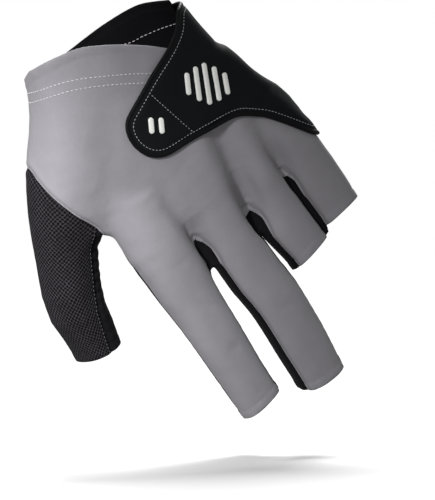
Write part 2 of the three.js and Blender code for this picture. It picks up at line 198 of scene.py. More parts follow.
def tubeOf(shape, past):
    # the sections of one sleeve, each with its own axes; the last one is repeated past the open end
    rows = [r if len(r) == 5 else [*r[:2], curlDepth(r[0]), *r[2:]] for r in shape["rows"]]
    rows = refined(np.array(rows, float), tubing["step"])
    slant, lean = shape.get("rim", (0, 0))
    centre = np.stack([rows[:, 1], rows[:, 2], -rows[:, 0]], axis=1)
    around = np.vstack([centre[:1], centre, centre[-1:]])
    along = unit(around[2:] - around[:-2])
    turn = math.radians(shape.get("turn", 0))
    back = np.tile([math.sin(turn), -math.cos(turn), 0], (len(rows), 1))
    back = unit(back - along * np.sum(back * along, axis=1, keepdims=True))
    width = -np.cross(along, back)
    rimWidth = rotatedAbout(width[-1], back[-1], -slant)
    rimBack = rotatedAbout(back[-1], rimWidth, lean)
    tube = {
        "centre": centre, "along": along, "back": back, "width": width,
        "size": rows[:, 3:5], "power": shape["boxiness"],
        "rimPoint": centre[-1], "rimNormal": unit(np.cross(rimBack, rimWidth)),
    }
    if tube["rimNormal"] @ along[-1] < 0:
        tube["rimNormal"] = -tube["rimNormal"]
    if past:
        tube["centre"] = np.vstack([centre, centre[-1] + along[-1] * past])
        for name in ("along", "back", "width", "size"):
            tube[name] = np.vstack([tube[name], tube[name][-1:]])
    return tube


def tubeField(tube, p):
    # roughly the distance from p to the sleeve's surface, with the place in its section
    centre, along = tube["centre"], tube["along"]
    best = np.full(len(p), 1e9)
    station = np.zeros(len(p))
    ahead = p @ along[0] - centre[0] @ along[0]
    before = -ahead
    for i in range(len(centre) - 1):
        behind, ahead = ahead, p @ along[i + 1] - centre[i + 1] @ along[i + 1]
        here = np.flatnonzero((behind >= 0) & (ahead < 0))
        t = behind[here] / (behind[here] - ahead[here])
        gap = np.linalg.norm(p[here] - centre[i] - t[:, None] * (centre[i + 1] - centre[i]), axis=1)
        nearer = gap < best[here]
        best[here[nearer]] = gap[nearer]
        station[here[nearer]] = i + t[nearer]
    station[(best > 1e8) & (ahead >= 0)] = len(centre) - 1
    low = np.minimum(station.astype(int), len(centre) - 2)
    share = (station - low)[:, None]
    mixed = {name: tube[name][low] * (1 - share) + tube[name][low + 1] * share
             for name in ("centre", "back", "width", "size")}
    away = p - mixed["centre"]
    u = np.sum(away * unit(mixed["width"]), axis=1)
    v = np.sum(away * unit(mixed["back"]), axis=1)
    size, power = mixed["size"], tube["power"]
    x, y = np.abs(u) / size[:, 0], np.abs(v) / size[:, 1]
    shell = np.maximum((x ** power + y ** power) ** (1 / power), 0.001)
    steep = np.hypot((x / shell) ** (power - 1) / size[:, 0], (y / shell) ** (power - 1) / size[:, 1])
    side = np.maximum((shell - 1) / np.maximum(steep, 0.001), -size.min(axis=1))
    past = np.maximum(before, ahead)
    field = np.minimum(np.maximum(side, past), 0) + np.hypot(np.maximum(side, 0), np.maximum(past, 0))
    return field, station, u, v


def smoothMin(a, b, k):
    h = np.clip(0.5 + 0.5 * (b - a) / k, 0, 1)
    return b * (1 - h) + a * h - k * h * (1 - h)


tubes = {"palm": tubeOf(palmShape, 0)}
tubes.update({name: tubeOf(shape, 0 if name == "web" else tubing["pastRim"])
              for name, shape in sleeveShapes.items()})
blends = {name: shape["blend"] for name, shape in sleeveShapes.items()}


def gloveField(p):
    field = tubeField(tubes["palm"], p)[0]
    for name, k in blends.items():
        margin = tubes[name]["size"].max() + k + 4   # past the blend's reach
        lo, hi = tubes[name]["centre"].min(axis=0) - margin, tubes[name]["centre"].max(axis=0) + margin
        near = np.all((p > lo) & (p < hi), axis=1)
        if near.any():
            field[near] = smoothMin(field[near], tubeField(tubes[name], p[near])[0], k)
    return field


def gradientOf(field, p, reach=0.3):
    step = np.eye(3) * reach
    return np.stack([field(p + s) - field(p - s) for s in step], axis=1) / (2 * reach)


def settled(field, p, level=0.0, rounds=3):
    # moves points on to a level of a field, and gives the field's outward direction there
    for _ in range(rounds):
        slope = gradientOf(field, p)
        size = np.maximum(np.sum(slope * slope, axis=1, keepdims=True), 0.2)
        p = p - np.clip((field(p) - level)[:, None] / size, -1.5, 1.5) * slope
    return p, unit(gradientOf(field, p))


def surfaceNet(field, low, high, voxel, level=0.0):
    # triangles on a level of a field: one point in each grid cell that the surface crosses
    count = np.ceil((np.array(high) - low) / voxel).astype(int) + 1
    axes = [low[k] + voxel * np.arange(count[k]) for k in range(3)]
    grid = np.stack(np.meshgrid(*axes, indexing="ij"), axis=-1).reshape(-1, 3)
    values = (field(grid) - level).reshape(count)
    inside = values < 0
    corners = [(i, j, k) for i in (0, 1) for j in (0, 1) for k in (0, 1)]
    cells = count - 1

    def part(array, shift):
        return array[tuple(slice(first, first + size) for first, size in zip(shift, cells))]

    total = sum(part(inside, c).astype(int) for c in corners)
    mixed = (total > 0) & (total < 8)
    number = np.full(cells, -1)
    number[mixed] = np.arange(mixed.sum())
    place = np.zeros((mixed.sum(), 3))
    hits = np.zeros(mixed.sum())
    base = np.argwhere(mixed)
    for a in corners:
        for axis in range(3):
            if a[axis]:
                continue
            b = list(a)
            b[axis] = 1
            va = part(values, a)[mixed]
            vb = part(values, b)[mixed]
            cut = (va < 0) != (vb < 0)
            t = va[cut] / (va[cut] - vb[cut])
            spot = base[cut] + np.array(a, float)
            spot[:, axis] += t
            place[cut] += spot
            hits[cut] += 1
    place = np.array(low) + voxel * place / hits[:, None]
    quads = []
    for axis in range(3):
        others = [k for k in range(3) if k != axis]
        start = [slice(1, -1)] * 3
        start[axis] = slice(0, -1)
        after = [slice(1, -1)] * 3
        after[axis] = slice(1, None)
        va = inside[tuple(start)]
        vb = inside[tuple(after)]
        for where, flip in ((va & ~vb, False), (~va & vb, True)):
            at = np.argwhere(where)
            at = at + np.array([0 if k == axis else 1 for k in range(3)])
            ring = []
            for da, db in ((0, 0), (-1, 0), (-1, -1), (0, -1)):
                cell = at.copy()
                cell[:, others[0]] += da
                cell[:, others[1]] += db
                ring.append(number[tuple(cell.T)])
            ring = np.stack(ring, axis=1)
            if flip != (axis == 1):
                ring = ring[:, ::-1]
            quads.append(ring)
    quads = np.vstack(quads)
    return place, np.vstack([quads[:, [0, 1, 2]], quads[:, [0, 2, 3]]])


def splitAt(points, tris, values, fixed=(), snap=0.22):
    # cuts triangles along the zero of a value on the points, so that none lies on both sides
    points, values = points.copy(), values.copy()
    free = np.ones(len(points), bool)
    free[list(fixed)] = False   # on an earlier line
    edges = np.sort(np.vstack([tris[:, [0, 1]], tris[:, [1, 2]], tris[:, [2, 0]]]), axis=1)
    edges = np.unique(edges, axis=0)
    va, vb = values[edges[:, 0]], values[edges[:, 1]]
    cut = edges[(va < 0) != (vb < 0)]

    def crossing():
        t = values[cut[:, 0]] / (values[cut[:, 0]] - values[cut[:, 1]])
        return t, points[cut[:, 0]] + t[:, None] * (points[cut[:, 1]] - points[cut[:, 0]])

    t, spot = crossing()
    for near, end in ((t < snap, 0), (t > 1 - snap, 1)):   # a point beside the line moves on to it
        near &= free[cut[:, end]]
        points[cut[near, end]] = spot[near]
        values[cut[near, end]] = 0
    sign = np.sign(values)
    cut = cut[sign[cut[:, 0]] * sign[cut[:, 1]] < 0]
    index = {(a, b): len(points) + i for i, (a, b) in enumerate(map(tuple, cut))}
    points = np.vstack([points, crossing()[1]])
    s = sign[tris]
    whole = ~((s.min(axis=1) < 0) & (s.max(axis=1) > 0))
    out = [tris[whole]]
    side = [np.where(s[whole].sum(axis=1) >= 0, 1, -1)]
    extra, extraSide = [], []
    for tri in tris[~whole]:
        sg = sign[tri]
        for turn in range(3):   # starts the triangle at the corner that is alone on its side
            a, b, c = np.roll(tri, -turn)
            sa, sb, sc = np.roll(sg, -turn)
            if sa != 0 and sa != sb and sa != sc and (sb != 0 or sc != 0):
                break
        ab = index.get((min(a, b), max(a, b)))
        ac = index.get((min(a, c), max(a, c)))
        if ab is not None and ac is not None:
            extra += [(a, ab, ac), (ab, b, c), (ab, c, ac)]
            extraSide += [sa, -sa, -sa]
        elif ab is not None:
            extra += [(a, ab, c), (ab, b, c)]
            extraSide += [sa, -sa]
        elif ac is not None:
            extra += [(a, b, ac), (ac, b, c)]
            extraSide += [sa, -sa]
    if extra:
        out.append(np.array(extra))
        side.append(np.array(extraSide))
    return points, np.vstack(out), np.concatenate(side)


def compact(points, tris):
    used, tris = np.unique(tris, return_inverse=True)
    return points[used], tris.reshape(-1, 3)


def largestPart(points, tris):
    label = np.arange(len(points))
    while True:
        low = label[tris].min(axis=1)
        new = label.copy()
        for k in range(3):
            np.minimum.at(new, tris[:, k], low)
        new = new[new]
        if np.array_equal(new, label):
            break
        label = new
    counts = np.bincount(label[tris[:, 0]])
    return tris[label[tris[:, 0]] == counts.argmax()]


def rimEdges(tris):
    directed = np.vstack([tris[:, [0, 1]], tris[:, [1, 2]], tris[:, [2, 0]]])
    both = {tuple(e) for e in directed}
    return np.array([e for e in directed if (e[1], e[0]) not in both])


def added(name, data):
    thing = bpy.data.objects.new(name, data)
    bpy.context.scene.collection.objects.link(thing)
    return thing


def makePiece(name, points, faces, material, node, attributes):
    # a mesh from hand-frame millimetres, set in the row's frame in metres
    title = name + "_look" if node else name
    mesh = bpy.data.meshes.new(title)
    row = (points @ handToRow.T) / 1000
    mesh.from_pydata(row.tolist(), [], [list(map(int, f)) for f in faces])
    mesh.validate(clean_customdata=False)
    for label, values in attributes.items():
        layer = mesh.attributes.new(label, "FLOAT_VECTOR" if values.ndim == 2 else "FLOAT", "POINT")
        layer.data.foreach_set("vector" if values.ndim == 2 else "value", values.astype(np.float32).ravel())
    mesh.polygons.foreach_set("use_smooth", [True] * len(mesh.polygons))
    mesh.materials.append(material)
    piece = added(title, mesh)
    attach(piece, "root")
    if node:
        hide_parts(node)


# Where each seam and free edge runs: a value for every point, zero on the line
gusset = {"half": 4.2, "fromIndex": (-33, -27), "toLittle": (37, 43), "along": (60, 72)}
sideSeam = {"little": 0.5, "across": (0, 34)}   # its depth at the little finger, and where it leaves it
webs = {   # the seams of two fingers meet in a point on the back
    "dip": 4, "dipFade": (87, 102), "lean": 0.04, "narrowing": 6, "fade": (12, 42),
    # across, along, spread, widest
    "tips": [[-16.4, 84.4, 0.2, 1.6], [9, 88.8, 0.16, 1.2], [30.8, 85.2, 0.15, 1.1]],
}
cuffTurn = {"depth": -6, "across": (16, 26), "rate": 0.3}   # the back's cuff turns down round the side
# across from, across to, along from
sleeveSpans = {"index": (-49, -17, 100), "middle": (-17, 11.6, 100), "ring": (11.6, 33.3, 100),
               "little": (33.3, 99, 100), "thumb": (-99, -49, 75)}
strip = {"edge": 0.15, "broader": 0.33, "along": (74, 100)}   # the thumb's strip is broader at the open end
backCuffLine = smoothCurve(backCuff, 160)
palmCuffLine = smoothCurve(palmCuff, 160)
thumbSeamLine = smoothCurve(thumbSeam, 160)


def pastBackCuff(p):
    deeper = np.maximum(0, p[:, 1] - cuffTurn["depth"]) * smoothstep(-p[:, 0], *cuffTurn["across"])
    return -p[:, 2] - np.interp(p[:, 0], *backCuffLine.T) - cuffTurn["rate"] * deeper


def pastPalmCuff(p):
    return -p[:, 2] - np.interp(p[:, 0], *palmCuffLine.T)


def fromThumb(p):
    deeper = p[:, 1] - thumbSeamSlope["depth"]
    along = -p[:, 2] - thumbSeamSlope["along"] * deeper
    lineAcross, lineAlong = thumbSeamLine.T
    across = np.interp(along, lineAlong, lineAcross) - 2 * np.maximum(0, lineAlong[0] - along)
    lean = np.interp(along + 1, lineAlong, lineAcross) - np.interp(along - 1, lineAlong, lineAcross)
    return (p[:, 0] - thumbSeamSlope["across"] * deeper - across) / np.sqrt(1 + (lean / 2) ** 2)


def amongFingers(p):
    return (smoothstep(p[:, 0], *gusset["fromIndex"]) * (1 - smoothstep(p[:, 0], *gusset["toLittle"]))
            * smoothstep(-p[:, 2], *gusset["along"]))


def outerSeam(p):
    thumbSide = np.interp(-p[:, 2], *np.transpose(thumbSideSeam))
    share = smoothstep(-p[:, 0], *sideSeam["across"])
    return sideSeam["little"] * (1 - share) + thumbSide * share


def belowBack(p):
    share = amongFingers(p)
    dip = webs["dip"] * (1 - smoothstep(-p[:, 2], *webs["dipFade"]))
    line = p[:, 1] - curlDepth(-p[:, 2]) - outerSeam(p) * (1 - share) + (gusset["half"] - dip) * share
    for across, along, spread, widest in webs["tips"]:
        past = -p[:, 2] - along
        wide = np.minimum(np.where(past > 0, spread * past, past), widest)
        wide = wide - webs["narrowing"] * smoothstep(past, *webs["fade"])
        line = np.maximum(line, wide - np.abs(p[:, 0] - across - webs["lean"] * past))
    return line


def belowGusset(p):
    share = amongFingers(p)
    return p[:, 1] - curlDepth(-p[:, 2]) - outerSeam(p) * (1 - share) - gusset["half"] * share


def insideRim(p):
    value = np.full(len(p), 20.0)
    for name, (low, high, along) in sleeveSpans.items():
        tube = tubes[name]
        here = (p[:, 0] >= low) & (p[:, 0] < high) & (-p[:, 2] > along)
        value[here] = -(p[here] - tube["rimPoint"]) @ tube["rimNormal"]
    return value


def thumbOuter(p):
    field, station, u, v = tubeField(tubes["thumb"], p)
    size = tubes["thumb"]["size"]
    share = strip["edge"] - strip["broader"] * smoothstep(-p[:, 2], *strip["along"])
    return v + share * np.interp(station, np.arange(len(size)), size[:, 1])


netting = {"low": [-86, -27, -177], "high": [57, 44, 28], "voxel": 1.0}
points, tris = surfaceNet(gloveField, netting["low"], netting["high"], netting["voxel"])
points = settled(gloveField, points, rounds=2)[0]
print("glove surface", len(points), "points")


class Wire:
    # one output of a node; arithmetic on it adds Math nodes
    def __init__(self, finish, socket):
        self.finish = finish
        self.socket = socket

    def maths(self, operation, *others):
        return self.finish.node("ShaderNodeMath", {"operation": operation}, self, *others)

    def clamped(self, by=1.0):
        return self.finish.node("ShaderNodeMath", {"operation": "MULTIPLY", "use_clamp": True}, self, by)

    def __add__(self, other):
        return self.maths("ADD", other)

    def __radd__(self, other):
        return self.maths("ADD", other)

    def __sub__(self, other):
        return self.maths("SUBTRACT", other)

    def __rsub__(self, other):
        return self.finish.node("ShaderNodeMath", {"operation": "SUBTRACT"}, other, self)

    def __mul__(self, other):
        return self.maths("MULTIPLY", other)

    def __rmul__(self, other):
        return self.maths("MULTIPLY", other)


seamReach = 0.16   # share of a seam's ramp that a millimetre takes


class Finish:
    # a material whose nodes are added one by one
    def __init__(self, name, constants):
        self.material = bpy.data.materials.new(name)
        self.material.use_nodes = True
        self.tree = self.material.node_tree
        self.shader = self.tree.nodes["Principled BSDF"]
        for label, value in constants.items():
            self.shader.inputs[label].default_value = value

    def node(self, kind, settings=None, *inputs, out=0, **named):
        made = self.tree.nodes.new(kind)
        for label, value in (settings or {}).items():
            if label == "stops":
                while len(made.color_ramp.elements) < len(value):
                    made.color_ramp.elements.new(1)
                for element, (place, shade) in zip(made.color_ramp.elements, value):
                    element.position = place
                    element.color = (shade, shade, shade, 1)
            else:
                setattr(made, label, value)
        for where, value in [*enumerate(inputs), *named.items()]:
            socket = made.inputs[where]
            if isinstance(value, Wire):
                self.tree.links.new(value.socket, socket)
            elif value is not None:
                socket.default_value = (*value, 1) if isinstance(value, tuple) else value
        return Wire(self, made.outputs[out])

    def attribute(self, name, out="Vector"):
        return self.node("ShaderNodeAttribute", {"attribute_name": name}, out=out)

    def split(self, vector, axis):
        return self.node("ShaderNodeSeparateXYZ", None, vector, out=axis)

    def noise(self, vector, scale, detail=2.0, rough=0.5):
        return self.node("ShaderNodeTexNoise", Vector=vector, Scale=scale, Detail=detail, Roughness=rough)

    def ramp(self, value, *stops):
        return self.node("ShaderNodeValToRGB", {"stops": stops}, value)

    def mixed(self, share, first, second, blend="MIX"):
        settings = {"data_type": "RGBA", "blend_type": blend}
        return self.node("ShaderNodeMix", settings, share, *[None] * 5, first, second, out=2)

    def toneAndShadeAtSeams(self, base, *stops):
        # the stops follow the millimetres from a seam; where they fall below 1 they paint shade into the
        # seam's groove
        seamToneAndShade = self.ramp(self.attribute("seam", "Fac") * seamReach, *stops)
        self.feed("Base Color", self.mixed(1.0, base, seamToneAndShade, "MULTIPLY"))

    def feed(self, label, wire):
        self.tree.links.new(wire.socket, self.shader.inputs[label])

    def bumped(self, height, strength, distance):
        self.feed("Normal", self.node("ShaderNodeBump", Strength=strength, Distance=distance, Height=height))


def shade(red, green, blue):
    # a colour given as it looks on a screen, 0 to 255
    return tuple(c / 255 / 12.92 if c <= 10 else ((c / 255 + 0.055) / 1.055) ** 2.4
                 for c in (red, green, blue))


lycra = {"light": shade(157, 155, 160), "dark": shade(127, 125, 130), "knit": 0.62, "relief": 0.00013}


def lycraFinish():
    f = Finish("grey_stretch_knit", {"Roughness": 0.62, "Sheen Weight": 0.08, "Sheen Roughness": 0.4,
                                     "Specular IOR Level": 0.2})
    place = f.attribute("cloth")
    across = f.split(place, "X")
    along = f.split(place, "Z")
    turn = 2 * math.pi / lycra["knit"]
    wobble = f.noise(place, 0.9, 2) * 0.8
    wale = ((across + along * 0.35) * turn + wobble).maths("SINE")
    course = ((along - across * 0.35) * turn * 1.3 + wobble).maths("SINE")
    stitch = wale * course * 0.5 + 0.5
    cloudy = f.noise(place, 0.045, 3)
    grain = f.noise(place, 1.7, 3, 0.7)
    tone = cloudy * 0.7 + grain * 0.35 + stitch * 0.12 - 0.1
    base = f.mixed(tone.clamped(), lycra["dark"], lycra["light"])
    # paler right on the seam's edge, then painted shade in the groove beside it
    f.toneAndShadeAtSeams(base, (0, 1.35), (0.07, 1.25), (0.12, 0.78), (0.3, 1), (1, 1))
    f.feed("Roughness", grain * 0.2 + 0.52)
    f.bumped(stitch + grain * 0.6 + f.noise(place, 0.22, 2) * 2.2, 0.7, lycra["relief"])
    return f.material


microfibre = {"light": shade(32, 30, 34), "dark": shade(11, 10, 12), "knit": 0.5, "relief": 0.00008}


def microfibreFinish(name="black_microfibre", lift=1.0):
    f = Finish(name, {"Roughness": 0.8, "Sheen Weight": 0.015, "Sheen Roughness": 0.45,
                      "Specular IOR Level": 0.08})
    place = f.attribute("cloth")
    turn = 2 * math.pi / microfibre["knit"]
    wale = (f.split(place, "X") * turn).maths("SINE")
    course = (f.split(place, "Z") * turn * 0.8).maths("SINE")
    stitch = wale * course * 0.5 + 0.5
    nap = f.noise(place, 1.1, 3, 0.65)
    cloudy = f.noise(place, 0.07, 2)
    tone = cloudy * 0.5 + nap * 0.5 + stitch * 0.15 - 0.08
    # lift below 1 darkens the whole cloth; for the palm this is painted shade
    base = f.mixed(tone.clamped(lift), microfibre["dark"], microfibre["light"])
    # painted shade along the seams
    f.toneAndShadeAtSeams(base, (0, 0.55), (0.25, 0.95), (1, 1))
    f.feed("Roughness", nap * 0.2 + 0.7)
    f.bumped(stitch + nap * 1.2, 0.6, microfibre["relief"])
    return f.material


meshCloth = {"yarn": shade(64, 61, 67), "hole": shade(4, 4, 5), "pitch": 1.75, "relief": 0.0006}


def meshFinish():
    f = Finish("black_knit_mesh", {"Roughness": 0.75, "Specular IOR Level": 0.12})
    place = f.attribute("cloth")
    lattice = f.attribute("lattice")
    a = f.split(lattice, "X")
    b = f.split(lattice, "Y")
    wobble = f.noise(place, 0.3, 2) * 2.4 + f.noise(place, 1.4, 2) * 1.1
    turn = math.pi / meshCloth["pitch"]
    left = ((a + b) * turn + wobble).maths("SINE")
    right = ((a - b) * turn - wobble * 0.8).maths("SINE")
    yarn = (left * right).maths("ABSOLUTE")
    thread = f.noise(place, 3.2, 2, 0.6)
    mask = f.ramp(yarn, (0.12, 1), (0.62, 0))
    tone = (mask * (thread * 1.5 + 0.1)).clamped()
    base = f.mixed(tone, meshCloth["hole"], meshCloth["yarn"])
    cloudy = f.ramp(f.noise(place, 0.12, 2), (0.3, 0.78), (0.7, 1.0))
    # painted shade along the seams
    f.toneAndShadeAtSeams(f.mixed(1.0, base, cloudy, "MULTIPLY"), (0, 0.6), (0.2, 1), (1, 1))
    f.bumped(mask + thread * 0.25, 0.9, meshCloth["relief"])
    return f.material


strapCloth = {"light": shade(22, 25, 27), "dark": shade(13, 15, 17), "grain": 0.55, "relief": 0.00008}


def strapFinish():
    f = Finish("black_faced_foam", {"Roughness": 0.72, "Specular IOR Level": 0.08})
    place = f.attribute("cloth")
    turn = 2 * math.pi / strapCloth["grain"]
    ribs = ((f.split(place, "X") * 0.6 - f.split(place, "Z") * 0.8) * turn).maths("SINE")
    fuzz = f.noise(place, 1.5, 3, 0.7)
    tone = f.noise(place, 0.08, 2) * 0.7 + fuzz * 0.4 + ribs * 0.06 - 0.05
    f.feed("Base Color", f.mixed(tone.clamped(), strapCloth["dark"], strapCloth["light"]))
    f.feed("Roughness", fuzz * 0.2 + 0.62)
    f.bumped(ribs * 0.5 + fuzz * 1.4, 0.6, strapCloth["relief"])
    return f.material


tape = {"light": shade(17, 18, 20), "dark": shade(9, 9, 10), "rib": 0.9, "relief": 0.0001}


def tapeFinish():
    f = Finish("black_edge_tape", {"Roughness": 0.7, "Specular IOR Level": 0.1})
    turn = 2 * math.pi / tape["rib"]
    rib = (f.split(f.attribute("lattice"), "X") * turn).maths("SINE") * 0.5 + 0.5
    fuzz = f.noise(f.attribute("cloth"), 1.2, 2, 0.6)
    tone = (rib * 0.4 + fuzz * 0.5).clamped()
    f.feed("Base Color", f.mixed(tone, tape["dark"], tape["light"]))
    f.feed("Roughness", fuzz * 0.25 + 0.4)
    f.bumped(rib + fuzz * 0.8, 0.7, tape["relief"])
    return f.material


def threadFinish(name, light, dark):
    f = Finish(name, {"Roughness": 0.55})
    twist = f.noise(f.attribute("cloth"), 2.6, 2, 0.6)
    f.feed("Base Color", f.mixed(twist, dark, light))
    f.feed("Roughness", twist * 0.3 + 0.42)
    f.bumped(twist, 0.5, 0.00006)
    return f.material


def siliconeFinish():
    f = Finish("white_silicone", {"Roughness": 0.42, "Subsurface Weight": 0.08,
                                  "Subsurface Radius": (0.001, 0.001, 0.0008)})
    place = f.attribute("cloth")
    haze = f.noise(place, 0.35, 3)
    specks = f.noise(place, 2.2, 2)
    f.feed("Base Color", f.mixed(haze, shade(226, 227, 222), shade(246, 246, 243)))
    f.feed("Roughness", haze * 0.2 + specks * 0.1 + 0.3)
    f.bumped(specks + haze * 0.5, 0.3, 0.00005)
    return f.material


finishes = {
    "lycra": lycraFinish(),
    "microfibre": microfibreFinish(),
    # the palm's own black cloth, with its tone scaled down to 0.35 to paint the shade inside the cuff's mouth
    "palm": microfibreFinish("black_palm_knit_painted_shade", 0.35),
    "mesh": meshFinish(),
    "neoprene": strapFinish(),
    "binding": tapeFinish(),
    "paleThread": threadFinish("pale_thread", shade(214, 212, 214), shade(176, 174, 178)),
    "strapThread": threadFinish("strap_thread", shade(186, 186, 188), shade(150, 150, 152)),
    "dimThread": threadFinish("dim_thread", shade(104, 102, 106), shade(74, 72, 76)),
    "silicone": siliconeFinish(),
    "hook": microfibreFinish("black_hook_pile", 0.8),
}
print("finishes made")

# Folds and knuckles in the cloth: from across, along to across, along, with height and half width.
# side -1 is the back of the hand and 1 is the palm.
folds = [
    # side, x1, along1, x2, along2, height, width
    [-1, 15, 50, 10.5, 96, -4.6, 5.6],
    [-1, 3, 56, 3.5, 86, 1.2, 5.5],
    [-1, -20.5, 60, -16.6, 94, -2, 4.4],
    [-1, 31, 62, 31, 92, -1.6, 3.8],
    [-1, -18.5, 76, -16.6, 93, -0.9, 1.3],
    [-1, 9.6, 79, 8.9, 97, -1, 1.4],
    [-1, 31.4, 77, 30.7, 94, -0.9, 1.3],
    [-1, -29, 66, -30, 88, 0.8, 7],
    [-1, 21, 70, 21, 90, 0.7, 5],
    [-1, -40, 40, -22, 62, -0.5, 5],
    [-1, -30, 14, -8, 30, 0.35, 4],
    [-1, -36, 24, -18, 44, -0.35, 5],
    [-1, -34, 104, -28, 112, -0.3, 2],
    [-1, -33, 128, -27, 132, -0.3, 2.2],
    [-1, -8, 128, 6, 133, -0.3, 2.4],
    [1, -12, 30, -34, 58, -1.4, 4],
    [1, 8, 20, 0, 60, -1.1, 4],
    [1, 30, 34, 6, 66, -0.9, 3.5],
    [1, -34, 84, 40, 78, -1.2, 3],
    [1, -30, 101, -22, 103, -0.7, 1.6],
    [1, -10, 104, 6, 104, -0.7, 1.6],
    [1, -36, 128, -24, 130, -0.7, 1.8],
    [1, -8, 130, 8, 131, -0.7, 1.8],
]
deepFold = 1.2


def flatPlace(p):
    return np.stack([p[:, 0], -p[:, 2]], axis=1)   # across, along


def foldHeight(p, normals):
    total = np.zeros(len(p))
    flat = flatPlace(p)
    for side, x1, h1, x2, h2, height, width in folds:
        start, way = np.array([x1, h1]), np.array([x2 - x1, h2 - h1], float)
        t = np.clip((flat - start) @ way / (way @ way), 0, 1)
        gap = np.linalg.norm(flat - start - t[:, None] * way, axis=1)
        if abs(height) < deepFold:
            taper = np.sin(np.pi * np.clip(t, 0.03, 0.97)) ** 0.7
        else:   # it keeps some of its height at both ends
            taper = np.sin(np.pi * (0.12 + 0.8 * t)) ** 0.6
        facing = smoothstep(side * normals[:, 1], 0.05, 0.6)
        total += height * bell(gap, 0, width) * taper * facing
    return total


def ripple(p, scale, seed, waves=7):
    # a smooth, seeded unevenness, from a few plane waves
    random = np.random.default_rng(seed)
    total = np.zeros(len(p))
    for _ in range(waves):
        way = random.normal(size=3)
        way *= 2 * math.pi / (scale * random.uniform(0.7, 1.6)) / np.linalg.norm(way)
        total += np.sin(p @ way + random.uniform(0, 6.28))
    return total / waves


def unevenness(p, *layers):
    # each layer has a height, a scale and a seed
    return sum(height * ripple(p, scale, seed) for height, scale, seed in layers)


def relief(p, normals):
    return unevenness(p, (0.16, 17, 3), (0.05, 6, 8)) + foldHeight(p, normals)


def wallOf(outer, inner, tris, normals, bulge):
    # a cloth wall with a rounded edge
    rim = rimEdges(tris)
    size = len(outer)
    out = np.zeros_like(outer)
    way = unit(outer[rim[:, 1]] - outer[rim[:, 0]])
    aside = np.cross(way, normals[rim[:, 0]])
    np.add.at(out, rim[:, 0], aside)
    np.add.at(out, rim[:, 1], aside)
    number = np.full(size, -1)
    ring = np.unique(rim)
    number[ring] = np.arange(len(ring)) + 2 * size
    middle = (outer[ring] + inner[ring]) / 2 + unit(out[ring]) * bulge
    a, b = rim.T
    sides = [[b, a, number[a]], [b, number[a], number[b]],
             [number[b], number[a], a + size], [number[b], a + size, b + size]]
    faces = np.vstack([tris, tris[:, ::-1] + size] + [np.stack(s, axis=1) for s in sides])
    return np.vstack([outer, inner, middle]), faces, ring


def seamGap(p):
    onThumb = fromThumb(p)
    gap = np.minimum(np.abs(onThumb), 9)
    hand = onThumb > -0.05
    gap[hand] = np.minimum(gap[hand], np.minimum(np.abs(belowBack(p[hand])), np.abs(belowGusset(p[hand]))))
    gap[~hand] = np.minimum(gap[~hand], np.abs(thumbOuter(p[~hand])))
    return gap


# a sunk seam with a low lip beside it, and a hem with its stitched groove
cloth = {"thick": 1.2, "edge": 0.16, "seamDip": 0.55, "seamWidth": 1.1, "seamThin": 0.3, "seamThinWidth": 1.5,
         "lip": 0.12, "lipAt": 2.2, "hemRise": 0.18, "hem": (3.0, 4.2), "hemDip": 0.22, "hemDipAt": 3.6}
gathers = {"pitch": 4.8, "high": 1.7, "sink": 1.1, "reach": 6,
           "from": (56, 61), "calmer": (80, 85), "calm": 0.7}
thumbRadius = 12.2   # turns an angle round the thumb into a length


def thumbLattice(p):
    # places round and along the thumb, for the mesh and the gathers
    field, station, u, v = tubeField(tubes["thumb"], p)
    length = lengthsOf(tubes["thumb"]["centre"])
    along = np.interp(station, np.arange(len(length)), length)
    return np.stack([np.arctan2(u, v) * thumbRadius, along, field], axis=1)


def gathered(p, along, seam):
    wave = np.abs(np.sin(math.pi * along / gathers["pitch"] + 0.5 * ripple(p, 16, 5)))
    where = smoothstep(-p[:, 2], *gathers["from"])
    where *= 1 - gathers["calm"] * smoothstep(-p[:, 2], *gathers["calmer"])
    return (gathers["high"] * wave - gathers["sink"]) * where * bell(seam, 0, gathers["reach"])


def clothPanel(name, tris, finish, rimGap, pucker=0.0):
    p, t = compact(points, tris)
    p, t = compact(p, largestPart(p, t))
    p, n = settled(gloveField, p, rounds=1)
    seam = seamGap(p)
    rim = rimGap(p)
    lattice = thumbLattice(p)
    lift = -cloth["seamDip"] * bell(seam, 0, cloth["seamWidth"])
    lift += cloth["lip"] * bell(seam, cloth["lipAt"], 1.0)
    lift += cloth["hemRise"] * (1 - smoothstep(rim, *cloth["hem"]))
    lift -= cloth["hemDip"] * bell(rim, cloth["hemDipAt"], 0.5)
    lift += relief(p, n)
    if pucker:
        lift += pucker * gathered(p, lattice[:, 1], seam)
    thick = cloth["thick"] - cloth["seamThin"] * bell(seam, 0, cloth["seamThinWidth"])
    inner = p + n * (lift - thick)[:, None]
    whole, faces, ring = wallOf(p + n * lift[:, None], inner, t, n, cloth["edge"])
    makePiece(name, whole, faces, finishes[finish], name,
              {"cloth": whole, "lattice": np.vstack([lattice, lattice, lattice[ring]]),
               "seam": np.concatenate([seam, seam, seam[ring]])})


onLines = set()


def cutBy(tris, value):
    # the triangles above and below a value's zero; new points join the shared ones
    global points
    values = value(points)
    values[np.abs(values) < 0.03] = 0
    points, whole, side = splitAt(points, tris, values, onLines)
    first, second = whole[side > 0], whole[side < 0]
    onLines.update(np.intersect1d(first, second).tolist())
    return first, second


hand, thumb = cutBy(tris, fromThumb)
lower, back = cutBy(hand, belowBack)
palm, middle = cutBy(lower, belowGusset)
thumb = cutBy(thumb, insideRim)[0]
mesh, inner = cutBy(thumb, thumbOuter)
back = cutBy(cutBy(back, pastBackCuff)[0], insideRim)[0]
palm = cutBy(cutBy(palm, pastPalmCuff)[0], insideRim)[0]
middle = cutBy(middle, insideRim)[0]

